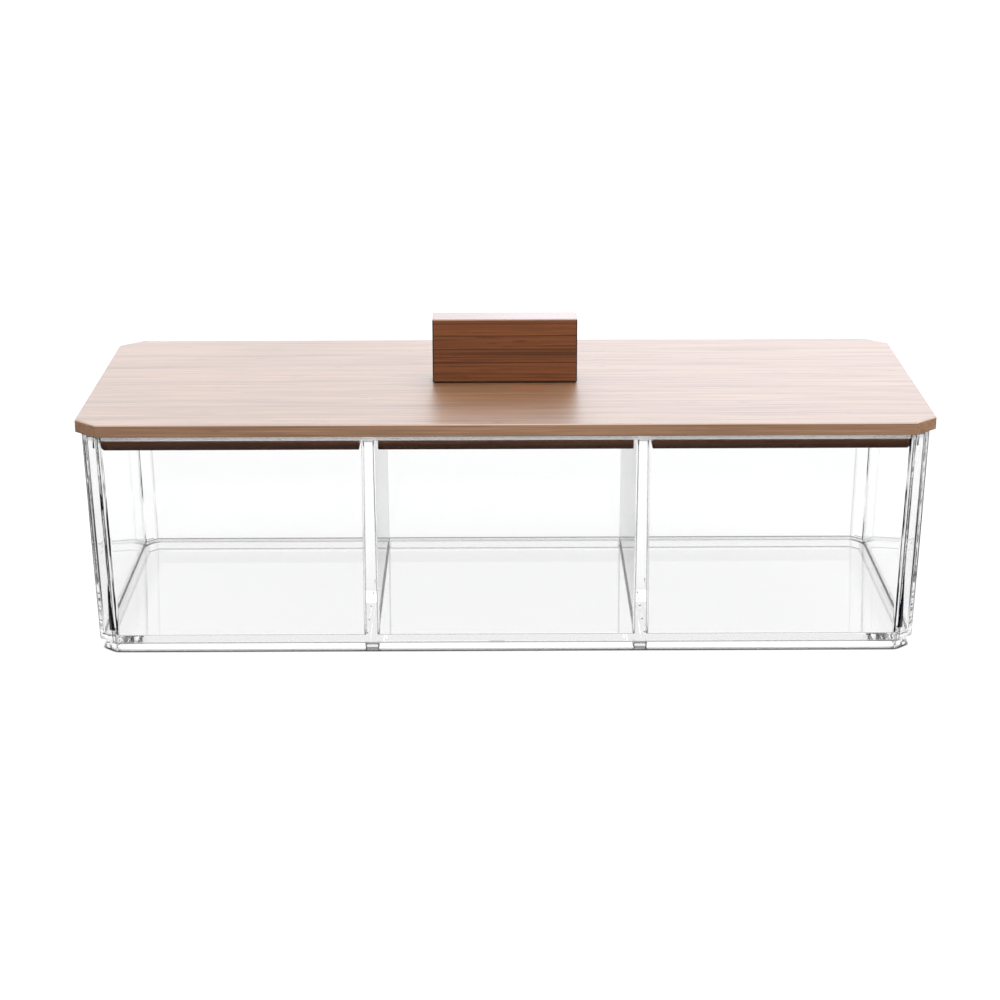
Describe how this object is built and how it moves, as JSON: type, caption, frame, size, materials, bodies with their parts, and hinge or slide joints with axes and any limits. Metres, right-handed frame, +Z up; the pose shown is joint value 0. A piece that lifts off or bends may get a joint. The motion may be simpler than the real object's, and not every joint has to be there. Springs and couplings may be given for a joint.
{
  "type": "storage box",
  "caption": "Clear moulded storage box with side-by-side compartments and a lift-off bamboo lid board with an upright bamboo handle block",
  "frame": {"origin": "centre of the footprint, on the surface that the foot ring stands on", "axes": "+X to the right along the box's long side, +Y to the back, +Z up; the front with the moulding gate's witness faces -Y"},
  "size_m": [0.28, 0.12, 0.1018],
  "materials": {
    "clear_plastic": "polished clear polystyrene, colourless",
    "bamboo_board": "sanded bamboo with fine straight grain, satin lacquer",
    "bamboo_pad": "sanded bamboo, matt",
    "bamboo_handle": "sanded bamboo with lengthwise strips, satin lacquer",
    "screw_steel": "zinc plated"
  },
  "bodies": {
    "box": {"clear_box": "clear_plastic"},
    "lid": {"lid_board": "bamboo_board", "left_locating_pad": "bamboo_pad", "middle_locating_pad": "bamboo_pad", "right_locating_pad": "bamboo_pad", "handle_block": "bamboo_handle", "left_handle_screw": "screw_steel", "right_handle_screw": "screw_steel"}
  },
  "joints": [
    {"name": "lid_lift", "type": "slide", "parent": "box", "child": "lid", "axis": [0, 0, 1], "range_m": [0, 0.12]}
  ]
}
